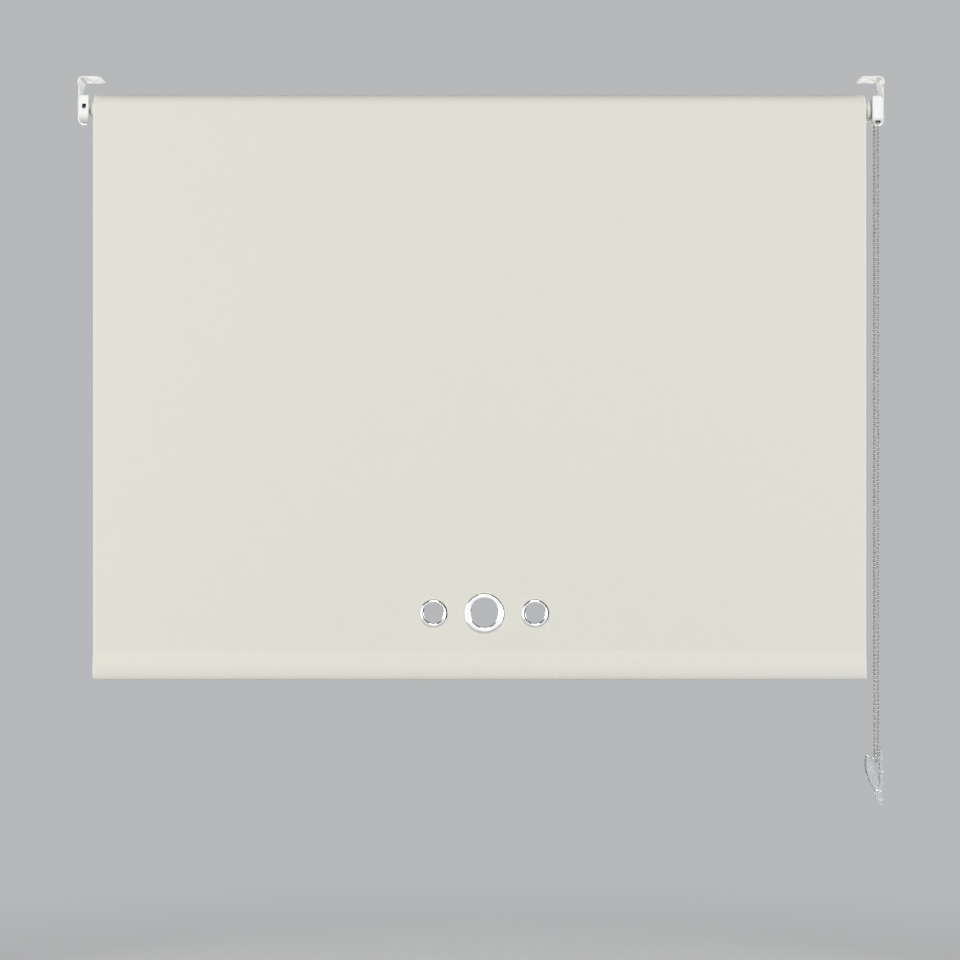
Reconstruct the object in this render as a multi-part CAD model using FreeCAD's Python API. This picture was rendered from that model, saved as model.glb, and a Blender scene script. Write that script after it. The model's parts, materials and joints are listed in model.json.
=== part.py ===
import math
import os

import FreeCAD
import Part

# Roller blind, top fixed, worked by a ball chain, with three eyelets above a bar in the hem.
# Frame: +X towards the chain side, -Y towards the room, +Z up.
# Origin: midway between the two brackets, on the plane that their top flanges are fixed to.
# Millimetres throughout. Names in capitals are design values; heights called "above the axis"
# are counted from the roller axis, and heights called v from the bottom of the hem.

V = FreeCAD.Vector

# ---- driving dimensions: cloth and roller --------------------------------------------------
AXIS_Z = -51.0              # roller axis, below the fixing plane
CLOTH_WIDTH = 1217.5
CLOTH_THICK = 0.5
CLOTH_LEFT = -611.0         # the cloth stands a little nearer to the idle bracket
ROLL_RADIUS = 25.0          # outside of the wound cloth
HEM_DROP = 900.0            # hem bottom, below the roller axis
HEM_ZONE = 160.0            # height of the hem part, which carries the bar and the eyelets
WEAVE_GAP = 0.3             # clearance between cloth parts that move apart
TUBE_RADIUS = 19.0
TUBE_WALL = 1.2
TAPE_WIDTH = 15.0
TAPE_THICK = 0.2

# ---- driving dimensions: brackets and covers -----------------------------------------------
PLATE = 2.0
LEG_FACE = 635.5            # outer face of each bracket leg, from the middle
FLANGE_LENGTH = 36.0
FLANGE_DEPTH = 50.0
LEG_HALF_WIDTH = 18.5
LEG_TIP = -12.0             # above the axis
LEG_TIP_ROUND = 10.0
LEG_TOP_ROUND = 1.0         # hidden inside the bend
LEG_PLAY = 0.2              # between the leg and the cover pushed over it
LEG_REACH = 40.0            # above the axis, past every cover's top
FLANGE_CORNER = 5.0
BEND_RADIUS = 6.0
SHOULDER_Z = -12.0          # where the flange's width ends on the leg
FIX_HOLE_RADIUS = 3.5
FIX_HOLE_X = (612.2, 622.6)
COVER_FACE = 636.5          # outer face of both covers, from the middle
COVER_HALF_WIDTH = 21.0
COVER_WALL = 1.8
COVER_SKIN = 1.0            # wall over the bracket leg
IDLE_COVER_FACE = 618.6     # its front edge beside the cloth, from the middle
IDLE_COVER_SLANT = 0.28     # how much the side beside the cloth leans away, for 1 mm of depth
IDLE_COVER_SPAN = (-20.5, 22.6)       # above the axis
IDLE_COVER_ROUND = 17.0     # at its lower corners
COVER_TOP_ROUND = 3.0
IDLE_COVER_EDGES = (4.0, 1.0)         # edge rounding: outer face, face towards the cloth
WINDOW_X = (-629.2, -622.9)
WINDOW_SPAN = (1.3, 8.6)    # above the axis
GUARD_FACE = 617.4
GUARD_SPLIT = 632.0         # seam between the guard's two halves
GUARD_SLANT = 0.07
GUARD_SPAN = (-21.5, 21.5)  # above the axis
GUARD_ROUND = 12.0          # at its lower corners
GUARD_EDGES = (1.5, 3.6)    # edge rounding: face towards the cloth, outer face
BARREL_RADIUS = 144.0       # of the guard's bowed outer face, about a line along Y
BARREL_WALL = 1.4
BARREL_Z = -16.0            # most prominent height, above the axis
GRIP_COUNT = 6
GRIP_PITCH = 3.6
GRIP_TOP = -1.5             # above the axis
GRIP_X = (622.0, 629.4)
GRIP_HEIGHT = 1.2
GRIP_DEPTH = 0.5

# ---- driving dimensions: control unit and chain --------------------------------------------
CHAIN_X = 626.8
CHAIN_RADIUS = 14.5         # of the chain's centre line round the wheel
BALL = 4.5
CHAIN_DROP = 1031.0         # lowest point of the chain's centre line, below the axis
CHAIN_SLOT = (7.6, 7.2, 9.5)          # each exit below the guard: along X, along Y, height
POCKET_COUNT = 15
POCKET_RADIUS = 2.85
GROOVE_RADIUS = 2.6
WHEEL_RADIUS = 16.2
WHEEL_X = (622.4, 631.0)
SLEEVE_RADIUS = 11.5
SLEEVE_START = 612.2
SPINDLE_RADIUS = 7.0
SPINDLE_TIP = 585.0
SPINDLE_FLANGE = (10.0, 1.2)          # radius and thickness, against the bracket leg
SPIGOT_RADIUS = 5.0
CROWN_BORE = 9.6
CROWN_CORE = 13.0
CROWN_START = 586.0
COLLAR_X = (611.0, 612.0, 616.9)      # of the dome seen beside the guard: back, rim, front
COLLAR_RADII = (16.7, 15.0, 12.3)     # at its rim, half way and at its front
COLLAR_MIDDLE = 615.3
NECK_RADIUS = 12.4
STOP_THICK = 1.2            # crown's stop flange, against the tube's end
WRAP_SPRINGS = 3
WRAP_COILS = 6
WRAP_LENGTH = 6.4
WRAP_SPACING = 7.2
WRAP_WIRE = 1.4
WRAP_NOTCH = 0.25
WRAP_START = 4.5            # from the spindle's tip
SCREW_RADIUS = 1.75
SCREW_POINT = 2.0           # length of its pointed end
SCREW_PLAY = 0.02
SCREW_HEAD = (3.6, 2.2)     # radius and height
SCREW_DEPTH = 15.0
WASHER_THICK = 1.4
CROSS_ARM = 2.2
CROSS_HALF_WIDTH = 0.4
CROSS_FLOOR = 1.2           # from the cross recess to the washer
RUNNING_FIT = 0.05
END_PLAY = 0.1              # between faces that pass or meet end to end
SLEEVE_PLAY = 1.0           # round the sleeve, where it leaves the guard
FLANGE_PLAY = 0.3           # round the spindle's flange
TURNED_EDGE = 0.6           # chamfer on turned and moulded round parts

# ---- driving dimensions: idle end ----------------------------------------------------------
PIN_RADIUS = 3.0
PIN_TIP = -635.0
PIN_HEAD = (-605.9, -601.9)
PIN_HEAD_RADIUS = 5.35
PIN_TAIL = -588.0
PIN_TAIL_RADIUS = 2.0
PLUG_BORE = 5.5
PLUG_CORE = 12.0
PLUG_X = (-620.2, -553.0)
PLUG_END_WALL = 3.0
PLUG_DOME = [(0.0, 5.5), (1.6, 10.0), (4.4, 13.5)]   # its end: depth and radius of three points
PLUG_RIM = 0.9              # thickness of the stop rim, against the tube's end
SOCKET_RADIUS = 9.0
SOCKET_END = -627.8
SOCKET_EDGE = 1.0
SOCKET_PLAY = 0.4           # round the socket, inside the cover
SOCKET_ROOM = 3.0           # how deep the cover is relieved round the socket
IDLE_SPIGOT_RADIUS = 6.0    # riveted end of the socket
PLUG_PLAY = 0.2             # of the stop rim, inside the tube's outer radius
SPRING_RADIUS = 4.2
SPRING_WIRE = 0.45
SPRING_X = (-601.2, -556.7)
SPRING_TURNS = 10
RIB_COUNT = 8
RIB_THICK = 2.0

# ---- driving dimensions: hem, eyelets and hook ---------------------------------------------
LATH_THICK = 8.0
LATH_V = (1.0, 32.2)
LATH_WALL = 1.0
HEM_BELLY = 0.8             # how far the pocket stands off the bar at its thickest
HEM_SHELL = 0.45            # thickness of the pocket's cloth
POCKET_V = 46.0             # top of the pocket
FLAP_V = 52.0               # top of the welded flap
LATH_EDGE = 0.9             # half the width of the bar's flat edges
CAP_THICK = 1.5
CAP_INSET = 0.3             # caps lie just inside the cloth's width
CAP_EDGE = 0.3
CAP_TONGUE = 10.0
EYELET_X = 5.3
EYELET_V = 105.0
EYELET_SPACING = 80.0
EYELETS = {                 # name: (steps from the middle one, outer radius, hole radius)
    "left": (-1, 22.4, 15.75),
    "large": (0, 32.0, 22.0),
    "right": (1, 22.4, 15.75),
}
EYELET_PROUD = 2.8
EYELET_BEVEL = (0.9, 1.5)   # middle of its outer bevel: from the edge, height
EYELET_EDGE = (2.1, 2.3)    # where the crown meets the bevel: from the edge, height
EYELET_LIP = (1.5, 2.2)     # where it turns into the hole: from the hole, height
EYELET_WALL = 0.7
HOOK_BASE_X = 632.0
HOOK_Z = (-1151.0, -1062.0)
HOOK_HALF_WIDTH = 7.0
HOOK_FOOT_HALF_WIDTH = 4.5
HOOK_POST_RADIUS = 3.0
HOOK_HOLE_RADIUS = 2.0
HOOK_HOLES_Z = (-1143.0, -1099.0)
HOOK_STEP = 22.0            # from the foot's tip up to the full-width base
HOOK_INNER = 618.0          # clear of the lip, for the screw holes
HOOK_POST_TIP = 621.0
HOOK_POST_EDGE = 1.0
HOOK_POST_GAP = 0.5         # from the chain to the post inside its loop
HOOK_WEB = (-7.0, -5.0)     # plate at the front of the lip, along Y
HOOK_LIP = [                # (x, z) corners; a third pair is the middle of an arc
    (633.0, -1129.0), (626.0, -1127.5, (613.2, -1105.5)), (610.6, -1076.0, (612.9, -1073.4)),
    (615.2, -1076.0, (618.6, -1102.0)), (629.0, -1121.0), (633.0, -1121.0),
]
HOOK_WEB_OUTLINE = [
    (633.0, -1128.5), (626.0, -1127.5, (613.2, -1105.5)), (610.6, -1076.0, (612.9, -1073.4)),
    (615.2, -1076.0), (622.6, -1088.0), (626.0, -1102.0), (633.0, -1122.0),
]
HOOK_FOOT = [
    (636.5, -1127.0), (636.5, -1151.0), (632.5, -1151.0), (629.0, -1148.0),
    (624.5, -1131.0), (624.5, -1127.0),
]

# ---- worked-out values ---------------------------------------------------------------------
X_AXIS = V(1, 0, 0)
Y_AXIS = V(0, 1, 0)
Z_AXIS = V(0, 0, 1)
CLOTH_RIGHT = CLOTH_LEFT + CLOTH_WIDTH
SHEET_FRONT = -ROLL_RADIUS
SHEET_BACK = SHEET_FRONT + CLOTH_THICK
SHEET_MIDDLE = SHEET_FRONT + CLOTH_THICK / 2
HEM_Z = AXIS_Z - HEM_DROP
ZONE_TOP = HEM_Z + HEM_ZONE
TUBE_BORE = TUBE_RADIUS - TUBE_WALL
LEG_INNER = LEG_FACE - PLATE
CHAIN_BOTTOM = AXIS_Z - CHAIN_DROP
LOOP_Z = CHAIN_BOTTOM + CHAIN_RADIUS
DIAGONAL = math.sqrt(0.5)


# ---- helpers -------------------------------------------------------------------------------
def box(x0, x1, y0, y1, z0, z1):
    return Part.makeBox(x1 - x0, y1 - y0, z1 - z0, V(x0, y0, z0))


def rod(radius, x0, x1, y=0.0, z=AXIS_Z):
    """Cylinder along X."""
    return Part.makeCylinder(radius, x1 - x0, V(x0, y, z), X_AXIS)


def ring(outer, inner, x0, x1):
    """Tube along X, on the roller axis."""
    return rod(outer, x0, x1).cut(rod(inner, x0 - 1, x1 + 1))


def outline(points, place):
    """Closed face through (u, v) corners. A corner (u, v, middle) starts an arc through middle."""
    edges = []
    for here, after in zip(points, points[1:] + points[:1]):
        start, end = place(*here[:2]), place(*after[:2])
        if len(here) > 2:
            edges.append(Part.Arc(start, place(*here[2]), end).toShape())
        else:
            edges.append(Part.LineSegment(start, end).toShape())
    return Part.Face(Part.Wire(edges))


def prism_x(points, x0, x1):
    """Solid with the (y, z) outline given, from x0 to x1."""
    return outline(points, lambda y, z: V(x0, y, z)).extrude(V(x1 - x0, 0, 0))


def prism_y(points, y0, y1):
    """Solid with the (x, z) outline given, from y0 to y1."""
    return outline(points, lambda x, z: V(x, y0, z)).extrude(V(0, y1 - y0, 0))


def prism_z(points, z0, z1):
    """Solid with the (x, y) outline given, from z0 to z1."""
    return outline(points, lambda x, y: V(x, y, z0)).extrude(V(0, 0, z1 - z0))


def turned(points):
    """Solid of revolution about the roller axis, from an (x, radius) outline."""
    face = outline(points, lambda x, r: V(x, 0, AXIS_Z + r))
    return face.revolve(V(0, 0, AXIS_Z), X_AXIS, 360)


def rounded(half, low, high, round_low, round_high):
    """(y, z) outline of a plate on the roller axis; low and high are above the axis."""
    y_low, y_high = half - round_low, half - round_high
    z_low, z_high = AXIS_Z + low + round_low, AXIS_Z + high - round_high
    low_reach, high_reach = round_low * DIAGONAL, round_high * DIAGONAL
    return [
        (-y_high, AXIS_Z + high),
        (y_high, AXIS_Z + high, (y_high + high_reach, z_high + high_reach)),
        (half, z_high),
        (half, z_low, (y_low + low_reach, z_low - low_reach)),
        (y_low, AXIS_Z + low),
        (-y_low, AXIS_Z + low, (-y_low - low_reach, z_low - low_reach)),
        (-half, z_low),
        (-half, z_high, (-y_high - high_reach, z_high + high_reach)),
    ]


def round_rim(shape, x, radius, slant=0.0):
    """Fillet every edge in the upright plane that crosses y = 0 at x and leans by slant."""
    rim = []
    for edge in shape.Edges:
        if max(abs(v.X - x - slant * v.Y) for v in edge.Vertexes) < 1e-6:
            rim.append(edge)
    return shape.makeFillet(radius, rim)


def one_solid(shape):
    """The single clean solid of a Boolean result."""
    shape = shape.removeSplitter()
    assert shape.isValid() and len(shape.Solids) == 1, "expected one valid solid"
    return shape.Solids[0]


def mirrored(shape):
    return shape.mirror(V(0, 0, 0), X_AXIS)


# ---- brackets and covers -------------------------------------------------------------------
def bracket(leg_hole):
    """Right-hand steel L: top flange, bend, and a narrower leg with one hole on the roller axis."""
    flange_end = LEG_FACE - FLANGE_LENGTH
    outside = BEND_RADIUS + PLATE
    centre_x = LEG_FACE - outside
    outer_reach, inner_reach = outside * DIAGONAL, BEND_RADIUS * DIAGONAL
    section = [
        (flange_end, 0.0),
        (centre_x, 0.0, (centre_x + outer_reach, -outside + outer_reach)),
        (LEG_FACE, -outside),
        (LEG_FACE, AXIS_Z + LEG_TIP),
        (LEG_INNER, AXIS_Z + LEG_TIP),
        (LEG_INNER, -outside, (centre_x + inner_reach, -outside + inner_reach)),
        (centre_x, -PLATE),
        (flange_end, -PLATE),
    ]
    plate = prism_y(section, -FLANGE_DEPTH / 2, FLANGE_DEPTH / 2)
    leg_span = (LEG_TIP, SHOULDER_Z + 2 - AXIS_Z)
    leg_x = (LEG_INNER - 1, LEG_FACE + 1)
    blank = box(*leg_x, -FLANGE_DEPTH, FLANGE_DEPTH, AXIS_Z + LEG_TIP - 1, SHOULDER_Z)
    kept = prism_x(rounded(LEG_HALF_WIDTH, *leg_span, LEG_TIP_ROUND, LEG_TOP_ROUND), *leg_x)
    plate = plate.cut(blank.cut(kept))
    for x in FIX_HOLE_X:
        hole = Part.makeCylinder(FIX_HOLE_RADIUS, PLATE + 2, V(x, 0, -PLATE - 1), Z_AXIS)
        plate = plate.cut(hole)
    end_edges = [edge for edge in plate.Edges if edge.BoundBox.XMax < flange_end + 1e-6]
    corners = [edge for edge in end_edges if edge.BoundBox.YLength < 1e-6]
    plate = plate.makeFillet(FLANGE_CORNER, corners)
    return one_solid(plate.cut(rod(leg_hole, *leg_x)))


def leg_pocket(x0, x1):
    """The space that a bracket leg takes inside a cover, open at the cover's top."""
    half = LEG_HALF_WIDTH + LEG_PLAY
    return prism_x(rounded(half, LEG_TIP - LEG_PLAY, LEG_REACH, LEG_TIP_ROUND, LEG_TOP_ROUND), x0, x1)


def beside(face, slant, inset=0.0):
    """Room on the outer side of a cover's slanting face; face is its x at the cover's front."""
    front, back = -COVER_HALF_WIDTH - 1, COVER_HALF_WIDTH + 1
    outward = 1 if face > 0 else -1
    lean = slant * outward
    start = face + inset * outward - lean * -COVER_HALF_WIDTH
    far = outward * (COVER_FACE + 1)
    points = [(start + lean * front, front), (start + lean * back, back), (far, back), (far, front)]
    return prism_z(points, AXIS_Z - LEG_REACH, AXIS_Z + LEG_REACH), start, lean


def idle_cover():
    """Wedge-shaped cap over the left bracket leg: hollow, with a window in front."""
    low, high = IDLE_COVER_SPAN
    outside = rounded(COVER_HALF_WIDTH, low, high, IDLE_COVER_ROUND, COVER_TOP_ROUND)
    inside = rounded(COVER_HALF_WIDTH - COVER_WALL, low + COVER_WALL, high - COVER_WALL,
                     IDLE_COVER_ROUND - COVER_WALL, COVER_TOP_ROUND - COVER_WALL)
    shell = round_rim(prism_x(outside, -COVER_FACE, -IDLE_COVER_FACE + 1), -COVER_FACE, IDLE_COVER_EDGES[0])
    room, start, lean = beside(-IDLE_COVER_FACE, IDLE_COVER_SLANT)
    shell = round_rim(shell.common(room), start, IDLE_COVER_EDGES[1], lean)
    cavity = prism_x(inside, -LEG_INNER, -IDLE_COVER_FACE + 1)
    shell = shell.cut(cavity.common(beside(-IDLE_COVER_FACE, IDLE_COVER_SLANT, COVER_WALL)[0]))
    shell = shell.cut(leg_pocket(-COVER_FACE + COVER_SKIN, -LEG_INNER + LEG_PLAY))
    shell = shell.cut(rod(SOCKET_RADIUS + SOCKET_PLAY, SOCKET_END - SOCKET_ROOM, -IDLE_COVER_FACE + 1))
    window = box(*WINDOW_X, -COVER_HALF_WIDTH - 1, -COVER_HALF_WIDTH + COVER_WALL + 1,
                 AXIS_Z + WINDOW_SPAN[0], AXIS_Z + WINDOW_SPAN[1])
    return one_solid(shell.cut(window))


def idle_socket():
    """Nylon boss riveted into the left leg; the idle pin turns in its bore."""
    body = rod(SOCKET_RADIUS, -LEG_INNER, SOCKET_END)
    spigot = rod(IDLE_SPIGOT_RADIUS, -LEG_FACE, -LEG_INNER + 1)
    body = round_rim(body, SOCKET_END, SOCKET_EDGE).fuse(spigot)
    return one_solid(body.cut(rod(PIN_RADIUS + RUNNING_FIT, -LEG_FACE - 1, SOCKET_END + 1)))


def guard_outline(inset=0.0):
    low, high = GUARD_SPAN
    return rounded(COVER_HALF_WIDTH - inset, low + inset, high - inset,
                   GUARD_ROUND - inset, COVER_TOP_ROUND - inset / 2)


def barrel(inset=0.0):
    """Room inside the guard's bowed outer face."""
    start = V(COVER_FACE - BARREL_RADIUS, -COVER_HALF_WIDTH - 1, AXIS_Z + BARREL_Z)
    return Part.makeCylinder(BARREL_RADIUS - inset, 2 * COVER_HALF_WIDTH + 2, start, Y_AXIS)


def control_housing():
    """Inner half of the chain guard: a tray round the chain wheel with two chain exits below."""
    room, start, lean = beside(GUARD_FACE, GUARD_SLANT)
    shell = prism_x(guard_outline(), GUARD_FACE - 1, GUARD_SPLIT).common(room)
    shell = round_rim(shell, start, GUARD_EDGES[0], lean)
    cavity = prism_x(guard_outline(COVER_WALL), GUARD_FACE - 1, GUARD_SPLIT + 1)
    cavity = cavity.common(beside(GUARD_FACE, GUARD_SLANT, COVER_WALL)[0])
    shell = shell.common(barrel()).cut(cavity.common(barrel(BARREL_WALL)))
    shell = shell.cut(rod(SLEEVE_RADIUS + SLEEVE_PLAY, GUARD_FACE - 1, WHEEL_X[0]))
    floor_z = AXIS_Z + GUARD_SPAN[0]
    slot_x, slot_y = CHAIN_SLOT[0] / 2, CHAIN_SLOT[1] / 2
    slot_z = (floor_z - 1, floor_z + CHAIN_SLOT[2])
    for y in (-CHAIN_RADIUS, CHAIN_RADIUS):
        shell = shell.cut(box(CHAIN_X - slot_x, CHAIN_X + slot_x, y - slot_y, y + slot_y, *slot_z))
    grip_y = (-COVER_HALF_WIDTH - 1, -COVER_HALF_WIDTH + GRIP_DEPTH)
    for row in range(GRIP_COUNT):
        z = AXIS_Z + GRIP_TOP - row * GRIP_PITCH
        shell = shell.cut(box(*GRIP_X, *grip_y, z - GRIP_HEIGHT, z))
    return one_solid(shell)


def control_cover():
    """Outer half of the guard: closes the tray and takes the right bracket leg."""
    shell = round_rim(prism_x(guard_outline(), GUARD_SPLIT, COVER_FACE), COVER_FACE, GUARD_EDGES[1])
    cavity = prism_x(guard_outline(COVER_WALL), GUARD_SPLIT - 1, LEG_INNER)
    shell = shell.common(barrel()).cut(cavity.common(barrel(BARREL_WALL)))
    shell = shell.cut(rod(SPINDLE_FLANGE[0] + FLANGE_PLAY, GUARD_SPLIT - 1, LEG_INNER))
    return one_solid(shell.cut(leg_pocket(LEG_INNER - LEG_PLAY, COVER_FACE - COVER_SKIN)))


# ---- control unit --------------------------------------------------------------------------
def ribs(core, x0, x1):
    """Solids that run along the tube's bore and stand out from a core radius."""
    found = []
    half = RIB_THICK / 2
    for step in range(RIB_COUNT):
        rib = box(x0, x1, -half, half, AXIS_Z + core - 1, AXIS_Z + TUBE_BORE - RUNNING_FIT)
        rib.rotate(V(0, 0, AXIS_Z), X_AXIS, step * 360 / RIB_COUNT)
        found.append(rib)
    return found


def control_spindle():
    """Fixed shaft, riveted through the right leg, with a hole for its end screw."""
    flange_radius, flange_thick = SPINDLE_FLANGE
    flange_x = LEG_INNER - flange_thick
    shaft = turned([
        (SPINDLE_TIP, 0), (SPINDLE_TIP, SPINDLE_RADIUS - TURNED_EDGE),
        (SPINDLE_TIP + TURNED_EDGE, SPINDLE_RADIUS),
        (flange_x, SPINDLE_RADIUS), (flange_x, flange_radius), (LEG_INNER, flange_radius),
        (LEG_INNER, SPIGOT_RADIUS), (LEG_FACE, SPIGOT_RADIUS), (LEG_FACE, 0),
    ])
    return one_solid(shaft.cut(rod(SCREW_RADIUS, SPINDLE_TIP - 1, SPINDLE_TIP + SCREW_DEPTH + 1)))


def wrap_springs():
    """Close-wound brake springs, side by side on the spindle, each with two tangs."""
    springs = []
    step = WRAP_LENGTH / WRAP_COILS
    top = SPINDLE_RADIUS + WRAP_WIRE
    tang_z = (AXIS_Z + top - 0.5, AXIS_Z + top + 0.8)
    for number in range(WRAP_SPRINGS):
        start = SPINDLE_TIP + WRAP_START + number * WRAP_SPACING
        end = start + WRAP_LENGTH
        points = [(start, SPINDLE_RADIUS)]
        for coil in range(WRAP_COILS):
            x = start + coil * step
            points += [(x, top - WRAP_NOTCH), (x + WRAP_NOTCH, top), (x + step - WRAP_NOTCH, top)]
        points += [(end, top - WRAP_NOTCH), (end, SPINDLE_RADIUS)]
        spring = turned(points)
        for x, y in ((start, 1), (end - step, -1)):
            spring = spring.fuse(box(x, x + step, y - 0.5, y + 0.5, *tang_z))
        springs.append(one_solid(spring))
    return Part.makeCompound(springs)


def drive_crown():
    """Ribbed plug in the tube's right end, with a stop flange and the visible collar."""
    back, rim_x, front = COLLAR_X
    rim, middle, nose = COLLAR_RADII
    stop = CLOTH_RIGHT + END_PLAY
    stop_end = stop + STOP_THICK
    running = SPINDLE_RADIUS + RUNNING_FIT
    socket = SLEEVE_RADIUS + END_PLAY
    socket_end = SLEEVE_START - 2 * END_PLAY
    rim_radius = TUBE_RADIUS - END_PLAY
    body = turned([
        (CROWN_START, running), (CROWN_START, CROWN_CORE), (stop, CROWN_CORE),
        (stop, rim_radius), (stop_end, rim_radius), (stop_end, NECK_RADIUS),
        (back, NECK_RADIUS), (back, rim), (rim_x, rim, (COLLAR_MIDDLE, middle)),
        (front, nose), (front, socket),
        (socket_end, socket), (socket_end, CROWN_BORE),
        (CROWN_START + 2, CROWN_BORE), (CROWN_START + 2, running),
    ])
    return one_solid(body.multiFuse(ribs(CROWN_CORE, CROWN_START + 0.5, CLOTH_RIGHT - 0.5)))


def chain_wheel():
    """Grooved wheel with ball pockets; its sleeve drives the crown."""
    left, right = WHEEL_X
    bore = SPINDLE_RADIUS + RUNNING_FIT
    wheel = turned([
        (SLEEVE_START, CROWN_BORE), (SLEEVE_START, SLEEVE_RADIUS), (left, SLEEVE_RADIUS),
        (left, WHEEL_RADIUS - TURNED_EDGE), (left + TURNED_EDGE, WHEEL_RADIUS),
        (right - TURNED_EDGE, WHEEL_RADIUS), (right, WHEEL_RADIUS - TURNED_EDGE),
        (right, bore), (left - 2, bore), (left - 2, CROWN_BORE),
    ])
    groove_x = (CHAIN_X - GROOVE_RADIUS, CHAIN_X + GROOVE_RADIUS)
    wheel = wheel.cut(Part.makeTorus(CHAIN_RADIUS, GROOVE_RADIUS, V(CHAIN_X, 0, AXIS_Z), X_AXIS))
    wheel = wheel.cut(ring(WHEEL_RADIUS + 1, CHAIN_RADIUS, *groove_x))
    for pocket in range(POCKET_COUNT):
        turn = math.radians(pocket * 360 / POCKET_COUNT)
        centre = V(CHAIN_X, CHAIN_RADIUS * math.cos(turn), AXIS_Z + CHAIN_RADIUS * math.sin(turn))
        wheel = wheel.cut(Part.makeSphere(POCKET_RADIUS, centre))
    return one_solid(wheel)


def spindle_washer():
    return ring(CROWN_BORE - TURNED_EDGE, SCREW_RADIUS, SPINDLE_TIP - WASHER_THICK, SPINDLE_TIP)


def spindle_screw():
    """Pan-head screw with a cross recess."""
    under_head = SPINDLE_TIP - WASHER_THICK
    radius, height = SCREW_HEAD
    top = under_head - height
    shank = SCREW_RADIUS - SCREW_PLAY
    tip = SPINDLE_TIP + SCREW_DEPTH
    screw = turned([
        (top, 0), (top, radius - 1.2, (top + 0.5, radius - 0.4)), (under_head, radius),
        (under_head, shank), (tip - SCREW_POINT, shank), (tip, 0),
    ])
    for y, z in ((CROSS_ARM, CROSS_HALF_WIDTH), (CROSS_HALF_WIDTH, CROSS_ARM)):
        screw = screw.cut(box(top - 1, under_head - CROSS_FLOOR, -y, y, AXIS_Z - z, AXIS_Z + z))
    return one_solid(screw)


# ---- idle end ------------------------------------------------------------------------------
def idle_plug():
    """Ribbed plug in the tube's left end, with a domed flange; the sprung pin slides inside."""
    left, right = PLUG_X
    edge = TUBE_RADIUS - PLUG_PLAY
    face = CLOTH_LEFT - END_PLAY
    bore_end = right - PLUG_END_WALL
    shoulder = PIN_HEAD[0] - END_PLAY
    nose, middle, rim = [(left + depth, radius) for depth, radius in PLUG_DOME]
    body = turned([
        (left, PIN_RADIUS + RUNNING_FIT), (*nose, middle), rim, (face - PLUG_RIM, rim[1]),
        (face - PLUG_RIM, edge),
        (face, edge), (face, PLUG_CORE), (right, PLUG_CORE), (right, 0),
        (bore_end, 0), (bore_end, PLUG_BORE), (shoulder, PLUG_BORE),
        (shoulder, PIN_RADIUS + RUNNING_FIT),
    ])
    return one_solid(body.multiFuse(ribs(PLUG_CORE, CLOTH_LEFT + 0.5, right - 2)))


def idle_pin():
    """Steel pin with a head that rests on the plug's shoulder and a tail inside the spring."""
    head, neck = PIN_HEAD
    return one_solid(turned([
        (PIN_TIP, 0), (PIN_TIP, PIN_RADIUS - TURNED_EDGE), (PIN_TIP + TURNED_EDGE, PIN_RADIUS),
        (head, PIN_RADIUS),
        (head, PIN_HEAD_RADIUS), (neck, PIN_HEAD_RADIUS), (neck, PIN_TAIL_RADIUS),
        (PIN_TAIL, PIN_TAIL_RADIUS), (PIN_TAIL, 0),
    ]))


def idle_spring():
    """Compression spring behind the pin's head."""
    length = SPRING_X[1] - SPRING_X[0]
    path = Part.makeHelix(length / SPRING_TURNS, length, SPRING_RADIUS)
    wire = Part.Wire(Part.makeCircle(SPRING_WIRE, V(SPRING_RADIUS, 0, 0), Y_AXIS))
    coil = Part.Wire(path).makePipeShell([wire], True, True)
    coil.rotate(V(0, 0, 0), Y_AXIS, 90)
    coil.translate(V(SPRING_X[0], 0, AXIS_Z))
    return Part.Solid(coil) if coil.ShapeType == "Shell" else coil.Solids[0]


# ---- roller and cloth ----------------------------------------------------------------------
def roller_tube():
    return ring(TUBE_RADIUS, TUBE_BORE, CLOTH_LEFT, CLOTH_RIGHT)


def fixing_tape():
    """Thin strip that sticks the cloth's inner end to the top of the tube."""
    band = ring(TUBE_RADIUS + TAPE_THICK, TUBE_RADIUS, CLOTH_LEFT, CLOTH_RIGHT)
    half = TAPE_WIDTH / 2
    above = box(CLOTH_LEFT, CLOTH_RIGHT, -half, half, AXIS_Z, AXIS_Z + 2 * TUBE_RADIUS)
    return one_solid(band.common(above))


def fabric_roll():
    """Wound cloth, up to the inner side of the outermost layer."""
    outer = ROLL_RADIUS - CLOTH_THICK - WEAVE_GAP
    inner = TUBE_RADIUS + TAPE_THICK + RUNNING_FIT
    return ring(outer, inner, CLOTH_LEFT, CLOTH_RIGHT)


def fabric_drop():
    """Hanging cloth from the front of the roll to the hem part."""
    return box(CLOTH_LEFT, CLOTH_RIGHT, SHEET_FRONT, SHEET_BACK, ZONE_TOP + WEAVE_GAP, AXIS_Z)


def hem_prism(points, x0, x1):
    """Solid along X with an outline in (offset from the sheet's middle plane, height v)."""
    return prism_x([
        (SHEET_MIDDLE + p[0], HEM_Z + p[1]) if len(p) == 2 else
        (SHEET_MIDDLE + p[0], HEM_Z + p[1], (SHEET_MIDDLE + p[2][0], HEM_Z + p[2][1]))
        for p in points
    ], x0, x1)


def eyelet_centre(steps):
    return V(EYELET_X + steps * EYELET_SPACING, SHEET_FRONT, HEM_Z + EYELET_V)


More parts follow.
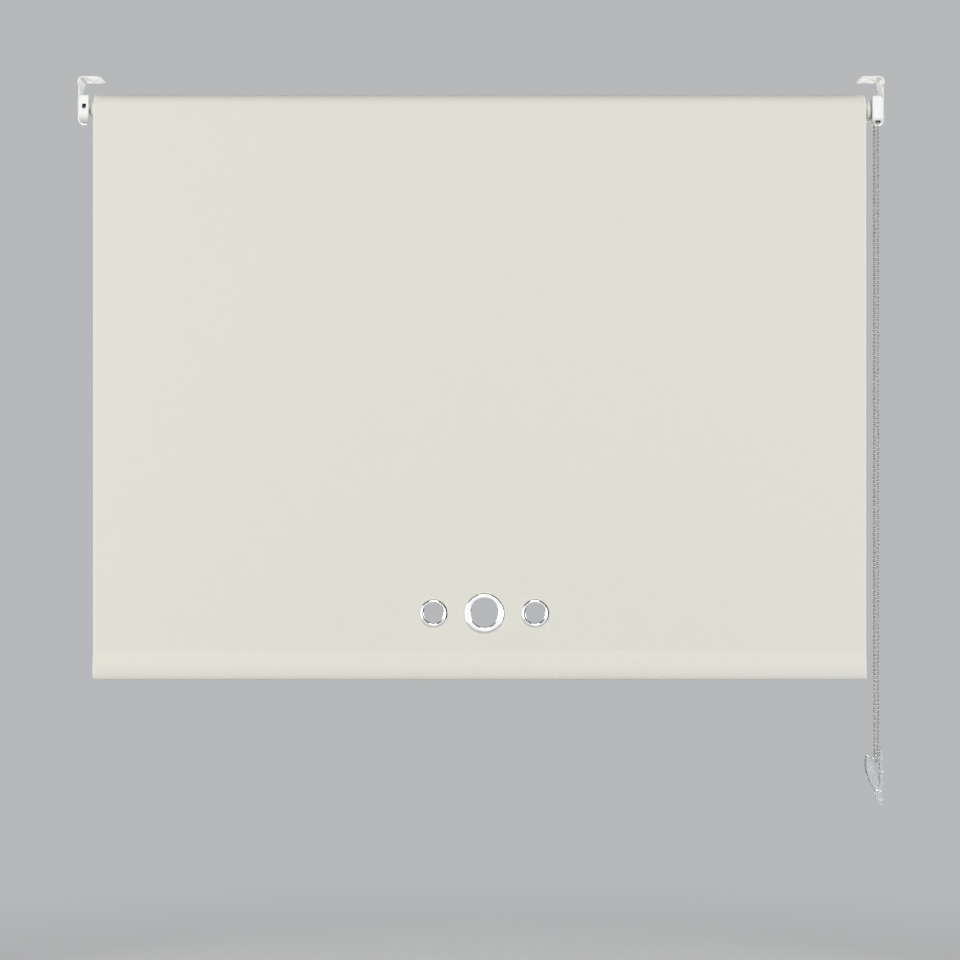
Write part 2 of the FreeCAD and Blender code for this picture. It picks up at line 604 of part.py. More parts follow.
def fabric_hem():
    """Lower cloth: flat with three eyelet holes, and a pocket that bulges round the bar."""
    half = CLOTH_THICK / 2
    belly = LATH_THICK / 2 + HEM_BELLY
    inner_belly = belly - HEM_SHELL
    middle = sum(LATH_V) / 2
    outside = [
        (-half, HEM_ZONE), (-half, POCKET_V), (-belly + 0.5, 25.0, (-belly, middle)),
        (-2.4, 1.6, (0.0, 0.0)), (2.4, 1.6, (belly, middle)), (belly - 0.5, 25.0),
        (half + 0.5, POCKET_V), (half + 0.5, FLAP_V), (half, FLAP_V), (half, HEM_ZONE),
    ]
    inside = [
        (half, POCKET_V - 2.5), (0.5 - inner_belly, 24.5, (-inner_belly, middle)),
        (-2.0, 2.1, (0.0, 0.6)), (2.0, 2.1, (inner_belly, middle)), (inner_belly - 0.5, 24.5),
    ]
    cloth = hem_prism(outside, CLOTH_LEFT, CLOTH_RIGHT)
    cloth = cloth.cut(hem_prism(inside, CLOTH_LEFT - 1, CLOTH_RIGHT + 1))
    for steps, _, hole in EYELETS.values():
        start = eyelet_centre(steps) - Y_AXIS * 2
        cloth = cloth.cut(Part.makeCylinder(hole + EYELET_WALL + 0.3, 5, start, Y_AXIS))
    return one_solid(cloth)


def lens(thick, low, high, flat):
    """Outline of the bar: two arcs between narrow flat ends."""
    middle = (low + high) / 2
    return [
        (-flat, high, (-thick / 2, middle)), (-flat, low),
        (flat, low, (thick / 2, middle)), (flat, high),
    ]


def hem_lath():
    """Hollow aluminium bar of lens section."""
    low, high = LATH_V
    x0, x1 = CLOTH_LEFT + CAP_INSET + CAP_THICK, CLOTH_RIGHT - CAP_INSET - CAP_THICK
    bar = hem_prism(lens(LATH_THICK, low, high, LATH_EDGE), x0, x1)
    hollow = lens(LATH_THICK - 2 * LATH_WALL, low + 1.6, high - 1.6, 0.4)
    return one_solid(bar.cut(hem_prism(hollow, x0 - 1, x1 + 1)))


def lath_cap(side):
    """End cap of the bar: a plate of the bar's section, and a tongue inside the bar."""
    face = CLOTH_LEFT + CAP_INSET if side < 0 else CLOTH_RIGHT - CAP_INSET
    low, high = LATH_V
    plate_x = sorted((face, face - side * CAP_THICK))
    tongue_x = sorted((face - side * CAP_THICK / 2, face - side * CAP_TONGUE))
    plate = hem_prism(lens(LATH_THICK, low, high, LATH_EDGE), *plate_x)
    plate = round_rim(plate, face, CAP_EDGE)
    tongue = hem_prism(lens(LATH_THICK - 2 * LATH_WALL - 0.2, low + 2.4, high - 2.4, 0.3), *tongue_x)
    return one_solid(plate.fuse(tongue))


# ---- eyelets -------------------------------------------------------------------------------
def turned_y(points, centre):
    """Solid of revolution about Y, from an outline in (radius, depth behind the cloth's front)."""
    face = outline(points, lambda r, depth: centre + V(r, depth, 0))
    return face.revolve(centre, Y_AXIS, 360)


def eyelet_front(steps, outer, hole):
    """Ring with a nearly flat crown in front of the cloth, and a barrel that passes through it."""
    crest = (hole + outer) / 2
    bevel, bevel_height = outer - EYELET_BEVEL[0], EYELET_BEVEL[1]
    edge, edge_height = outer - EYELET_EDGE[0], EYELET_EDGE[1]
    lip, lip_height = hole + EYELET_LIP[0], EYELET_LIP[1]
    rear = CLOTH_THICK + 2.2
    return one_solid(turned_y([
        (outer, 0), (outer, -0.4, (bevel, -bevel_height)), (edge, -edge_height, (crest, -EYELET_PROUD)),
        (lip, -lip_height, (hole + 0.4, -1.3)), (hole, 0.2),
        (hole, rear), (hole + EYELET_WALL, rear), (hole + EYELET_WALL, 0),
    ], eyelet_centre(steps)))


def eyelet_back(steps, outer, hole):
    """Washer behind the cloth, round the barrel."""
    inner = hole + EYELET_WALL + RUNNING_FIT
    rim = outer - 1.0
    crest = ((inner + rim) / 2, CLOTH_THICK + 1.5)
    return one_solid(turned_y([
        (inner, CLOTH_THICK), (rim, CLOTH_THICK), (rim, CLOTH_THICK + 0.3, crest),
        (inner, CLOTH_THICK + 1.0),
    ], eyelet_centre(steps)))


# ---- chain and safety hook -----------------------------------------------------------------
def chain_half_loop(centre_z, up):
    """Half turn of the chain, over the wheel (up) or at the bottom of the loop."""
    start = V(CHAIN_X, -CHAIN_RADIUS, centre_z)
    disc = Part.Face(Part.Wire(Part.makeCircle(BALL / 2, start, Z_AXIS)))
    return disc.revolve(V(CHAIN_X, 0, centre_z), X_AXIS, -180 if up else 180)


def chain_strand(side):
    """Straight chain between the two half turns."""
    return Part.makeCylinder(BALL / 2, AXIS_Z - LOOP_Z, V(CHAIN_X, side * CHAIN_RADIUS, LOOP_Z), Z_AXIS)


def chain_hook():
    """Clear safety hook: wall base, post through the chain's loop, and a webbed lip beside it."""
    low, high = HOOK_Z
    base = box(HOOK_BASE_X, COVER_FACE, -HOOK_HALF_WIDTH, HOOK_HALF_WIDTH, low + HOOK_STEP, high)
    lip = prism_y(HOOK_LIP, -HOOK_HALF_WIDTH, HOOK_HALF_WIDTH)
    web = prism_y(HOOK_WEB_OUTLINE, *HOOK_WEB)
    foot = prism_y(HOOK_FOOT, -HOOK_FOOT_HALF_WIDTH, HOOK_FOOT_HALF_WIDTH)
    post_z = CHAIN_BOTTOM + BALL / 2 + HOOK_POST_GAP + HOOK_POST_RADIUS
    post = rod(HOOK_POST_RADIUS, HOOK_POST_TIP, HOOK_BASE_X + 1, 0, post_z)
    post = round_rim(post, HOOK_POST_TIP, HOOK_POST_EDGE)
    hook = base.multiFuse([lip, web, foot, post])
    for z in HOOK_HOLES_Z:
        hook = hook.cut(rod(HOOK_HOLE_RADIUS, HOOK_INNER, COVER_FACE + 1, 0, z))
    return one_solid(hook)


# ---- all nodes -----------------------------------------------------------------------------
NODES = {
    "left_bracket": mirrored(bracket(IDLE_SPIGOT_RADIUS)),
    "left_cover": idle_cover(),
    "idle_socket": idle_socket(),
    "right_bracket": bracket(SPIGOT_RADIUS),
    "control_housing": control_housing(),
    "control_cover": control_cover(),
    "control_spindle": control_spindle(),
    "wrap_springs": wrap_springs(),
    "spindle_washer": spindle_washer(),
    "spindle_screw": spindle_screw(),
    "drive_crown": drive_crown(),
    "chain_wheel": chain_wheel(),
    "idle_plug": idle_plug(),
    "idle_pin": idle_pin(),
    "idle_spring": idle_spring(),
    "roller_tube": roller_tube(),
    "fixing_tape": fixing_tape(),
    "fabric_roll": fabric_roll(),
    "fabric_drop": fabric_drop(),
    "fabric_hem": fabric_hem(),
    "hem_lath": hem_lath(),
    "lath_cap_left": lath_cap(-1),
    "lath_cap_right": lath_cap(1),
    "chain_over_wheel": chain_half_loop(AXIS_Z, True),
    "chain_front_strand": chain_strand(-1),
    "chain_back_strand": chain_strand(1),
    "chain_bottom_loop": chain_half_loop(LOOP_Z, False),
    "chain_hook": chain_hook(),
}
for name, sizes in EYELETS.items():
    NODES["eyelet_front_" + name] = eyelet_front(*sizes)
    NODES["eyelet_back_" + name] = eyelet_back(*sizes)

os.makedirs("parts", exist_ok=True)
for name, shape in NODES.items():
    assert shape.isValid(), name
    shape.exportStep("parts/" + name + ".step")
    span = shape.BoundBox
    limits = (span.XMin, span.XMax, span.YMin, span.YMax, span.ZMin, span.ZMax)
    print("%-20s %10.1f mm3" % (name, shape.Volume), "x %.1f..%.1f y %.1f..%.1f z %.1f..%.1f" % limits)
section = math.pi * (BALL / 2) ** 2
print("chain arcs: radius %.1f mm, %.1f ball diameters" % (CHAIN_RADIUS, CHAIN_RADIUS / BALL))
for name in ("chain_over_wheel", "chain_front_strand", "chain_back_strand", "chain_bottom_loop"):
    print("%s: length by volume %.2f mm" % (name, NODES[name].Volume / section))
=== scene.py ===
import json
import math

import bmesh
import bpy
import numpy as np
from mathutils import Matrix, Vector


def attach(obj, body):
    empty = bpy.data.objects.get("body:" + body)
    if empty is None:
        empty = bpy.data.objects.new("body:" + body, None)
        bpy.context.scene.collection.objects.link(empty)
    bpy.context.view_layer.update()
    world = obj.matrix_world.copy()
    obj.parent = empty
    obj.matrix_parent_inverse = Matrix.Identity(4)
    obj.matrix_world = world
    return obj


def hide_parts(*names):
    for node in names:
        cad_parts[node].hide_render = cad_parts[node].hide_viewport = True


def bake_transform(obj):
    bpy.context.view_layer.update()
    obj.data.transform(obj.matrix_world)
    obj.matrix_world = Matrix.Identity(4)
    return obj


# Roller blind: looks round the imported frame. Metres, in the frame's own axes:
# +X towards the chain, -Y towards the room, +Z up, origin on the fixing plane.

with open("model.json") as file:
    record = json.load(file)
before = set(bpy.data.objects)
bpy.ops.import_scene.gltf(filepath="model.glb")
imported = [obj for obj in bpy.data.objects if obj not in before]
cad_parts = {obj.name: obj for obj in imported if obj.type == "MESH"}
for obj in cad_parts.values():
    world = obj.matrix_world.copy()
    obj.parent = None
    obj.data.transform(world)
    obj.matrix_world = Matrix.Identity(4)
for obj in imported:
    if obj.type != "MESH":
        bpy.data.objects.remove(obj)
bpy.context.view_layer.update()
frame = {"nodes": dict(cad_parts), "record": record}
scene = bpy.context.scene

# ---- sizes ---------------------------------------------------------------------------------
AXIS_Z = -0.051
CLOTH_X = (-0.6110, 0.6065)
SHEET_Y = -0.02475              # middle plane of the hanging cloth
CLOTH_THICK = 0.0004
WRAP_RADIUS = 0.0248            # middle of the outermost layer at the front
WRAP_DROP = 0.00042             # how much smaller it is one turn further in
ROLL_INNER = 0.0195             # middle of the innermost layer
ROLL_PITCH = 0.00044
ROLL_TURNS = 10
HEM_Z = -0.951
ZONE_TOP = -0.791
EYELETS = (                     # name, centre x, hole radius in the cloth
    ("left", -0.0747, 0.0167),
    ("large", 0.0053, 0.0230),
    ("right", 0.0853, 0.0167),
)
EYELET_Z = -0.846
PATCH = 0.040                   # half side of the square of mesh round each hole
PATCH_SIDES = 16                # mesh columns and rows across that square
PATCH_LOOPS = 7                 # rings of mesh between the square and the hole
PATCH_MARGINS = (-0.7975, -0.8925)    # heights of the single rows above and below the squares
WRAP_STEPS = 96                 # rows of mesh round the outermost turn
HANG_STEPS = 60                 # rows down the hanging length
ROLL_STEPS = 72                 # rows for each wound turn
SELVEDGE = (0.0, 0.002, 0.005, 0.010, 0.017)   # columns of mesh beside each cloth edge
SELVEDGE_WIDTH = 0.027
PANEL_COLUMNS = 24              # from there to the nearest hole's square
KEYS_PER_METRE = 1e5            # mesh points of the flat cloth are found to 0.01 mm
WAVES = (                       # of the hanging cloth: height, turn per metre of x and z, phase
    (0.00007, 9.1, 2.3, 0.7),
    (0.00005, 17.3, -6.1, 2.1),
    (0.00003, 4.2, 19.0, 1.3),
    (0.00002, 31.0, 11.0, 0.0),
)
RELIEF_GROWS = 0.12             # share of the hanging length over which the waves begin
RELIEF_ENDS = 0.2               # and over which they die out above the eyelets
EDGE_CURL = 0.00008             # how far the cloth's edges curl forward
CURL_WIDTH = 0.018
ROLL_SLIP = 0.00018             # how far the wound layers' edges miss each other
CHAIN_X = 0.6268
BALL_RADIUS = 0.00225
BALL_PITCH = 0.006
BALL_START = 0.753              # first ball, in pitches past the top: seated in a wheel pocket
LINK_RADIUS = 0.0006
LINK_SIDES = 8
LINK_START = 0.93               # of the ball's radius
THREAD_PITCH = 0.00045

# ---- colours and staging -------------------------------------------------------------------
CLOTH_DARK = (0.776, 0.752, 0.690)
CLOTH_LIGHT = (0.820, 0.797, 0.737)
CLOTH_COOL = (0.794, 0.776, 0.723)
# painted shade: colour of the hollows between the threads
CLOTH_GAP_SHADE = (0.61, 0.59, 0.51)
# painted highlight: colour of the cloth's cut edges
CLOTH_EDGE_HIGHLIGHT = (0.88, 0.87, 0.82)
WORLD_COLOUR = (0.17, 0.173, 0.177)
BACKDROP_COLOUR = (0.470, 0.476, 0.484)
BACKDROP_RADIUS = 9.0
BACKDROP_Z = -0.6
FLOOR_Z = -2.3
FLOOR_RADIUS = 7.0
FLOOR_FADE = (1.6, 5.2)         # distance from its middle
AIM = (0.0, 0.0, -0.52)         # what the lights and cards face
LIGHT_SIZE = (2.4, 2.0)
LIGHTS = (                      # name, place, size, watts, colour
    ("key_left", (-2.6, -2.6, -1.0), LIGHT_SIZE, 60.0, (1.0, 0.97, 0.86)),
    ("fill_right", (2.6, -2.6, -1.0), LIGHT_SIZE, 58.0, (0.875, 0.95, 1.0)),
    ("above", (0.0, -4.5, 4.0), (4.0, 2.0), 165.0, (1.0, 0.985, 0.95)),
    ("back_left", (-2.4, 3.2, -0.45), LIGHT_SIZE, 84.0, (1.0, 0.99, 0.97)),
    ("back_right", (2.4, 3.2, -0.45), LIGHT_SIZE, 84.0, (0.98, 0.99, 1.0)),
)
CARDS = (                       # name, place, size, aim, strength
    ("card_front", (0.0, -6.0, -0.3), (9.0, 7.0), AIM, 1.15),
    ("card_behind_left", (-1.6, 5.0, -1.0), (1.0, 0.9), (-0.6, 0.0, 0.0), 2.2),
    ("card_behind_right", (1.6, 5.0, -1.0), (1.0, 0.9), (0.6, 0.0, 0.0), 2.2),
    ("card_left", (-2.6, -0.9, -0.7), (3.0, 3.0), AIM, 1.0),
    ("flag_right", (2.6, -0.9, -0.7), (3.0, 3.0), AIM, 0.0),
)

# ---- camera --------------------------------------------------------------------------------
camera_data = bpy.data.cameras.new("camera")
camera_data.lens = 76.2
camera_data.sensor_width = 36.0
camera_data.clip_start = 0.05
camera_data.clip_end = 60.0
camera = bpy.data.objects.new("camera", camera_data)
camera.location = (-0.0016, -3.225, -0.636)
camera.rotation_euler = (math.radians(90), 0, 0)
scene.collection.objects.link(camera)
scene.camera = camera
scene.view_settings.view_transform = "Standard"
scene.view_settings.look = "None"


# ---- mesh helpers --------------------------------------------------------------------------
def mesh_object(name, verts, faces, smooth_angle=35.0):
    """New mesh object, smooth except over edges sharper than the angle."""
    mesh = bpy.data.meshes.new(name)
    mesh.from_pydata([tuple(v) for v in verts], [], [tuple(f) for f in faces])
    mesh.update()
    mesh.polygons.foreach_set("use_smooth", [True] * len(mesh.polygons))
    mesh.set_sharp_from_angle(angle=math.radians(smooth_angle))
    obj = bpy.data.objects.new(name, mesh)
    scene.collection.objects.link(obj)
    return obj


def set_attribute(obj, name, values):
    attribute = obj.data.attributes.new(name, "FLOAT", "POINT")
    attribute.data.foreach_set("value", np.asarray(values, np.float32))


def thicken(points, normals, faces, thick):
    """Closed shell round a sheet: its front, its back and a wall along every open edge."""
    half = normals * (thick / 2)
    count = len(points)
    verts = np.vstack([points + half, points - half])
    used = {}
    for face in faces:
        for a, b in zip(face, face[1:] + face[:1]):
            used.setdefault(frozenset((a, b)), []).append((a, b))
    shell = [list(face) for face in faces]
    shell += [[i + count for i in reversed(face)] for face in faces]
    for found in used.values():
        if len(found) == 1:
            a, b = found[0]
            shell.append([b, a, a + count, b + count])
    return verts, shell


# ---- chain ---------------------------------------------------------------------------------
# Control points of the chain's line, (y, z): over the wheel, down the back strand, round the
# bottom of the loop and up the front strand.
CHAIN_ROUTE = [
    (0.0, -0.0365), (0.0039, -0.0365), (0.0106, -0.0404), (0.0145, -0.0471),
    (0.0145, -0.078), (0.0145, -1.0405),
    (0.0145, -1.0714), (0.0106, -1.0781), (0.0039, -1.082), (-0.0039, -1.082),
    (-0.0106, -1.0781), (-0.0145, -1.0714),
    (-0.0145, -1.0405), (-0.0145, -0.078),
    (-0.0145, -0.0471), (-0.0106, -0.0404), (-0.0039, -0.0365), (0.0, -0.0365),
]


def spline_points(route, steps=48):
    """Points along the NURBS spline that has the route as its control points."""
    curve = bpy.data.curves.new("route", "CURVE")
    curve.dimensions = "3D"
    spline = curve.splines.new("NURBS")
    spline.points.add(len(route) - 1)
    for point, (y, z) in zip(spline.points, route):
        point.co = (CHAIN_X, y, z, 1.0)
    spline.order_u = 3
    spline.use_endpoint_u = True
    spline.resolution_u = steps
    holder = bpy.data.objects.new("route", curve)
    scene.collection.objects.link(holder)
    depsgraph = bpy.context.evaluated_depsgraph_get()
    line = bpy.data.meshes.new_from_object(holder.evaluated_get(depsgraph))
    points = np.array([v.co for v in line.vertices], float)
    bpy.data.objects.remove(holder)
    bpy.data.curves.remove(curve)
    bpy.data.meshes.remove(line)
    return points


def unit_ball():
    shape = bmesh.new()
    bmesh.ops.create_icosphere(shape, subdivisions=3, radius=1.0)
    verts = np.array([v.co for v in shape.verts], float)
    faces = [[v.index for v in f.verts] for f in shape.faces]
    shape.free()
    return verts, faces


def make_chain():
    path = spline_points(CHAIN_ROUTE)
    along = np.concatenate([[0], np.cumsum(np.linalg.norm(np.diff(path, axis=0), axis=1))])
    count = round(along[-1] / BALL_PITCH)
    stations = (np.arange(count) + BALL_START) * along[-1] / count
    centres = np.stack([np.interp(stations, along, path[:, i]) for i in range(3)], axis=1)
    ball, ball_faces = unit_ball()
    verts, faces = [], []
    for centre in centres:
        base = len(verts)
        verts.extend(centre + ball * BALL_RADIUS)
        faces.extend([[i + base for i in f] for f in ball_faces])
    sideways = np.array((1.0, 0.0, 0.0))
    inset = BALL_RADIUS * LINK_START
    for start, end in zip(centres, np.roll(centres, -1, axis=0)):
        direction = (end - start) / np.linalg.norm(end - start)
        across = np.cross(direction, sideways)
        base = len(verts)
        for centre in (start + direction * inset, end - direction * inset):
            for side in range(LINK_SIDES):
                turn = 2 * math.pi * side / LINK_SIDES
                offset = across * math.cos(turn) + sideways * math.sin(turn)
                verts.append(centre + offset * LINK_RADIUS)
        for side in range(LINK_SIDES):
            near, after = base + side, base + (side + 1) % LINK_SIDES
            faces.append([near, after, after + LINK_SIDES, near + LINK_SIDES])
    return mesh_object("ball_chain", verts, faces), path


chain, chain_path = make_chain()
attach(chain, "brackets")
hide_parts("chain_over_wheel", "chain_front_strand", "chain_back_strand", "chain_bottom_loop")


# ---- cloth: profile of the moving piece ----------------------------------------------------
# Middle line of the hem pocket, (offset from the sheet's plane, height above the hem), in mm:
# down the front over the bar, under it, and up the back to the welded flap.
POCKET = [
    (0.0, 56.0), (0.06, 52.0), (0.07, 49.0), (-0.12, 45.5), (-0.95, 40.5), (-2.1, 34.8),
    (-3.3, 28.8), (-4.12, 23.6), (-4.52, 18.8), (-4.56, 14.5), (-4.25, 10.0), (-3.55, 6.0),
    (-2.5, 2.9), (-1.3, 0.95), (0.0, 0.3), (1.3, 0.95), (2.5, 2.9), (3.55, 6.0), (4.25, 10.0),
    (4.56, 14.5), (4.52, 18.8), (4.12, 23.6), (3.3, 28.8), (2.15, 34.8), (1.25, 40.2),
    (0.66, 44.8), (0.5, 47.5), (0.5, 52.0),
]


def smooth_line(points, parts):
    """Catmull-Rom line through the points, with this many pieces between each two."""
    p = np.array(points, float)
    p = np.vstack([2 * p[0] - p[1], p, 2 * p[-1] - p[-2]])
    line = []
    for i in range(1, len(p) - 2):
        for step in range(parts):
            t = step / parts
            line.append(0.5 * (
                2 * p[i] + (p[i + 1] - p[i - 1]) * t
                + (2 * p[i - 1] - 5 * p[i] + 4 * p[i + 1] - p[i + 2]) * t ** 2
                + (3 * p[i] - p[i - 1] - 3 * p[i + 1] + p[i + 2]) * t ** 3))
    line.append(p[-2])
    return np.array(line)


def cloth_rows():
    """Rows of the moving cloth as (y, z, share of the hem's motion)."""
    rows = []
    for step in range(WRAP_STEPS):
        turn = 2 * math.pi * (1 - step / WRAP_STEPS)
        radius = WRAP_RADIUS - WRAP_DROP * turn / (2 * math.pi)
        rows.append((-radius * math.cos(turn), AXIS_Z + radius * math.sin(turn), 0.0))
    for step, z in enumerate(np.linspace(AXIS_Z, ZONE_TOP, HANG_STEPS)):
        y = SHEET_Y if step else -WRAP_RADIUS
        rows.append((y, z, (AXIS_Z - z) / (AXIS_Z - ZONE_TOP)))
    patch_rows = np.linspace(EYELET_Z + PATCH, EYELET_Z - PATCH, PATCH_SIDES + 1)
    for z in [PATCH_MARGINS[0], *patch_rows, PATCH_MARGINS[1]]:
        rows.append((SHEET_Y, z, 1.0))
    for offset, height in smooth_line(POCKET, 2):
        rows.append((SHEET_Y + offset / 1000, HEM_Z + height / 1000, 1.0))
    return np.array(rows)


def cloth_columns():
    first, last = EYELETS[0][1] - PATCH, EYELETS[-1][1] + PATCH
    selvedge = np.array(SELVEDGE)
    return np.concatenate([
        CLOTH_X[0] + selvedge,
        np.linspace(CLOTH_X[0] + SELVEDGE_WIDTH, first, PANEL_COLUMNS)[:-1],
        np.linspace(first, last, len(EYELETS) * PATCH_SIDES + 1),
        np.linspace(last, CLOTH_X[1] - SELVEDGE_WIDTH, PANEL_COLUMNS)[1:],
        CLOTH_X[1] - selvedge[::-1],
    ])


def row_normals(rows):
    """Normals of the profile, towards the room or out of the roll."""
    along = np.gradient(rows[:, :2], axis=0)
    along /= np.linalg.norm(along, axis=1)[:, None]
    return np.stack([along[:, 1], -along[:, 0]], axis=1)


def hang_relief(x, z):
    """How far the hanging cloth leaves its plane: slow waves, and edges that curl forward."""
    depth = (AXIS_Z - z) / (AXIS_Z - ZONE_TOP)
    inside = np.clip(depth / RELIEF_GROWS, 0, 1) * np.clip((1 - depth) / RELIEF_ENDS, 0, 1)
    wave = sum(height * np.sin(by_x * x + by_z * z + phase) for height, by_x, by_z, phase in WAVES)
    edge = np.minimum(x - CLOTH_X[0], CLOTH_X[1] - x)
    curl = -EDGE_CURL * np.clip(1 - edge / CURL_WIDTH, 0, 1) ** 2
    return (wave + curl) * inside


def hole_patch(centre_x, radius, grid_index):
    """Points and faces of the square of cloth round one hole.

    grid_index finds the cloth's own points along the square's border.
    """
    steps = [2 * PATCH * i / PATCH_SIDES - PATCH for i in range(PATCH_SIDES)]
    border = [(PATCH, v) for v in steps]
    border += [(-u, PATCH) for u in steps]
    border += [(-PATCH, -v) for v in steps]
    border += [(u, -PATCH) for u in steps]
    rings, points = [[grid_index(centre_x + u, EYELET_Z + v) for u, v in border]], []
    for loop in range(1, PATCH_LOOPS + 1):
        share = loop / PATCH_LOOPS
        ring = []
        for u, v in border:
            turn = math.atan2(v, u)
            cu, cv = radius * math.cos(turn), radius * math.sin(turn)
            ring.append(("new", len(points)))
            points.append((centre_x + u + (cu - u) * share, EYELET_Z + v + (cv - v) * share))
        rings.append(ring)
    faces = []
    for outer, inner in zip(rings, rings[1:]):
        for i in range(len(border)):
            after = (i + 1) % len(border)
            faces.append([outer[i], outer[after], inner[after], inner[i]])
    return points, faces


def make_blind_cloth():
    rows, columns = cloth_rows(), cloth_columns()
    across = row_normals(rows)
    step = np.linalg.norm(np.diff(rows[:, :2], axis=0), axis=1)
    distance = np.concatenate([[0], np.cumsum(step)])
    width = len(columns)
    x = np.tile(columns, len(rows))
    y = np.repeat(rows[:, 0], width)
    z = np.repeat(rows[:, 1], width)
    share = np.repeat(rows[:, 2], width)
    hanging = (share > 0) & (share < 1)
    y = y + np.where(hanging, hang_relief(x, z), 0.0)
    points = np.stack([x, y, z], axis=1)
    normals = np.zeros_like(points)
    normals[:, 1] = np.repeat(across[:, 0], width)
    normals[:, 2] = np.repeat(across[:, 1], width)
    down = np.repeat(distance, width)

    def grid_key(u, v):
        return round(u * KEYS_PER_METRE), round(v * KEYS_PER_METRE)

    def grid_index(u, v):
        return flat[grid_key(u, v)]

    in_sheet = (rows[:, 2] == 1.0) & np.isclose(rows[:, 0], SHEET_Y, rtol=0, atol=1e-9)
    flat = {}
    for r in range(len(rows)):
        if in_sheet[r]:
            for c in range(width):
                flat[grid_key(columns[c], rows[r, 1])] = r * width + c

    faces = []
    for r in range(len(rows) - 1):
        for c in range(width - 1):
            mid_x = (columns[c] + columns[c + 1]) / 2
            mid_z = (rows[r, 1] + rows[r + 1, 1]) / 2
            beside_holes = EYELETS[0][1] - PATCH < mid_x < EYELETS[-1][1] + PATCH
            if beside_holes and in_sheet[r] and abs(mid_z - EYELET_Z) < PATCH:
                continue
            start = r * width + c
            faces.append([start, start + width, start + width + 1, start + 1])
    zone_start = distance[np.argmin(np.abs(rows[:, 1] - EYELET_Z) + (rows[:, 2] < 1))]
    for _, centre_x, radius in EYELETS:
        new_points, new_faces = hole_patch(centre_x, radius, grid_index)
        base = len(points)
        flat_rows = [(u, SHEET_Y, v) for u, v in new_points]
        points = np.vstack([points, flat_rows])
        normals = np.vstack([normals, np.tile((0.0, -1.0, 0.0), (len(flat_rows), 1))])
        share = np.concatenate([share, np.ones(len(flat_rows))])
        down = np.concatenate([down, [zone_start + EYELET_Z - v for _, v in new_points]])
        for face in new_faces:
            ids = [base + i[1] if isinstance(i, tuple) else i for i in face]
            faces.append(ids[::-1])
    verts, shell = thicken(points, normals, faces, CLOTH_THICK)
    obj = mesh_object("blind_cloth", verts, shell)
    set_attribute(obj, "cloth_down", np.tile(down, 2))
    return obj, np.tile(share, 2), distance[-1]


def make_cloth_roll():
    """The wound length, a spiral of thin layers whose edges don't quite line up."""
    steps = ROLL_STEPS * ROLL_TURNS
    turn = np.arange(steps + 1) / ROLL_STEPS * 2 * math.pi
    radius = ROLL_INNER + ROLL_PITCH * turn / (2 * math.pi)
    rows = np.stack([-radius * np.cos(turn), AXIS_Z - radius * np.sin(turn)], axis=1)
    normals_yz = np.stack([-np.cos(turn), -np.sin(turn)], axis=1)
    distance = np.concatenate([[0], np.cumsum(np.linalg.norm(np.diff(rows, axis=0), axis=1))])
    slip_left = ROLL_SLIP * (1 + np.sin(0.83 * turn + 0.4))
    slip_right = ROLL_SLIP * (1 + np.sin(0.71 * turn + 2.0))
    share = np.array([0.0, 0.02, 0.5, 0.98, 1.0])
    start, end = CLOTH_X[0] + slip_left, CLOTH_X[1] - slip_right
    x = start[:, None] + (end - start)[:, None] * share[None, :]
    width = len(share)
    y, z = np.repeat(rows[:, 0], width), np.repeat(rows[:, 1], width)
    points = np.stack([x.ravel(), y, z], axis=1)
    normals = np.zeros_like(points)
    normals[:, 1] = np.repeat(normals_yz[:, 0], width)
    normals[:, 2] = np.repeat(normals_yz[:, 1], width)
    faces = []
    for r in range(steps):
        for c in range(width - 1):
            first = r * width + c
            faces.append([first, first + width, first + width + 1, first + 1])
    verts, shell = thicken(points, normals, faces, CLOTH_THICK)
    obj = mesh_object("cloth_roll", verts, shell)
    set_attribute(obj, "cloth_down", np.tile(np.repeat(distance, width), 2))
    return obj, distance[-1]


roll, roll_length = make_cloth_roll()
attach(roll, "roller")
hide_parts("fabric_roll")

cloth, cloth_share, cloth_length = make_blind_cloth()
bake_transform(cloth)
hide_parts("fabric_drop", "fabric_hem")
print("chain %.4f m, roll %.4f m, moving cloth %.4f m" % (
    np.linalg.norm(np.diff(chain_path, axis=0), axis=1).sum(), roll_length, cloth_length))


